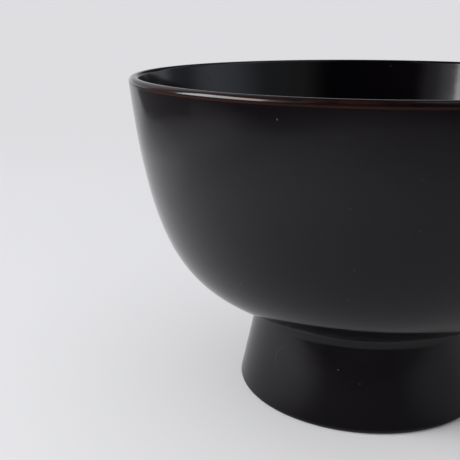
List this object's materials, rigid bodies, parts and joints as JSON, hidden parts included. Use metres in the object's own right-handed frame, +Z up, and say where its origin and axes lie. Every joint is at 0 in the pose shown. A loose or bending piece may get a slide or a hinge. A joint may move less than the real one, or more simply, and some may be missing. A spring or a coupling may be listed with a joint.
{
  "type": "soup bowl",
  "caption": "Black lacquered round soup bowl on a high flared foot ring, with a flat narrow lip, a thin red-brown line just below it, and a deep recess under the foot; no lid",
  "frame": {"origin": "centre of the foot's standing ring, on the table", "axes": "+Z is up along the axis the bowl was turned on; X and Y are free, because the bowl is round, and the picture looks roughly along +Y"},
  "size_m": [0.12, 0.12, 0.0805],
  "materials": {
    "wood": "bare turned wood, hidden under the lacquer",
    "putty": "matte filler of lacquer and wood powder",
    "cloth": "plain woven hemp",
    "ground": "matte, rubbed down level",
    "undercoat": "satin red-brown",
    "topcoat": "satin to half gloss black"
  },
  "bodies": {
    "root": {"wood_bowl": "wood", "wood_foot": "wood", "joint_putty": "putty", "rim_cloth": "cloth", "joint_cloth": "cloth", "foot_cloth": "cloth", "inside_ground": "ground", "outside_ground": "ground", "recess_ground": "ground", "inside_undercoat": "undercoat", "outside_undercoat": "undercoat", "recess_undercoat": "undercoat", "inside_topcoat": "topcoat", "outside_topcoat": "topcoat", "recess_topcoat": "topcoat", "foot_edge_coat": "topcoat"}
  },
  "joints": []
}
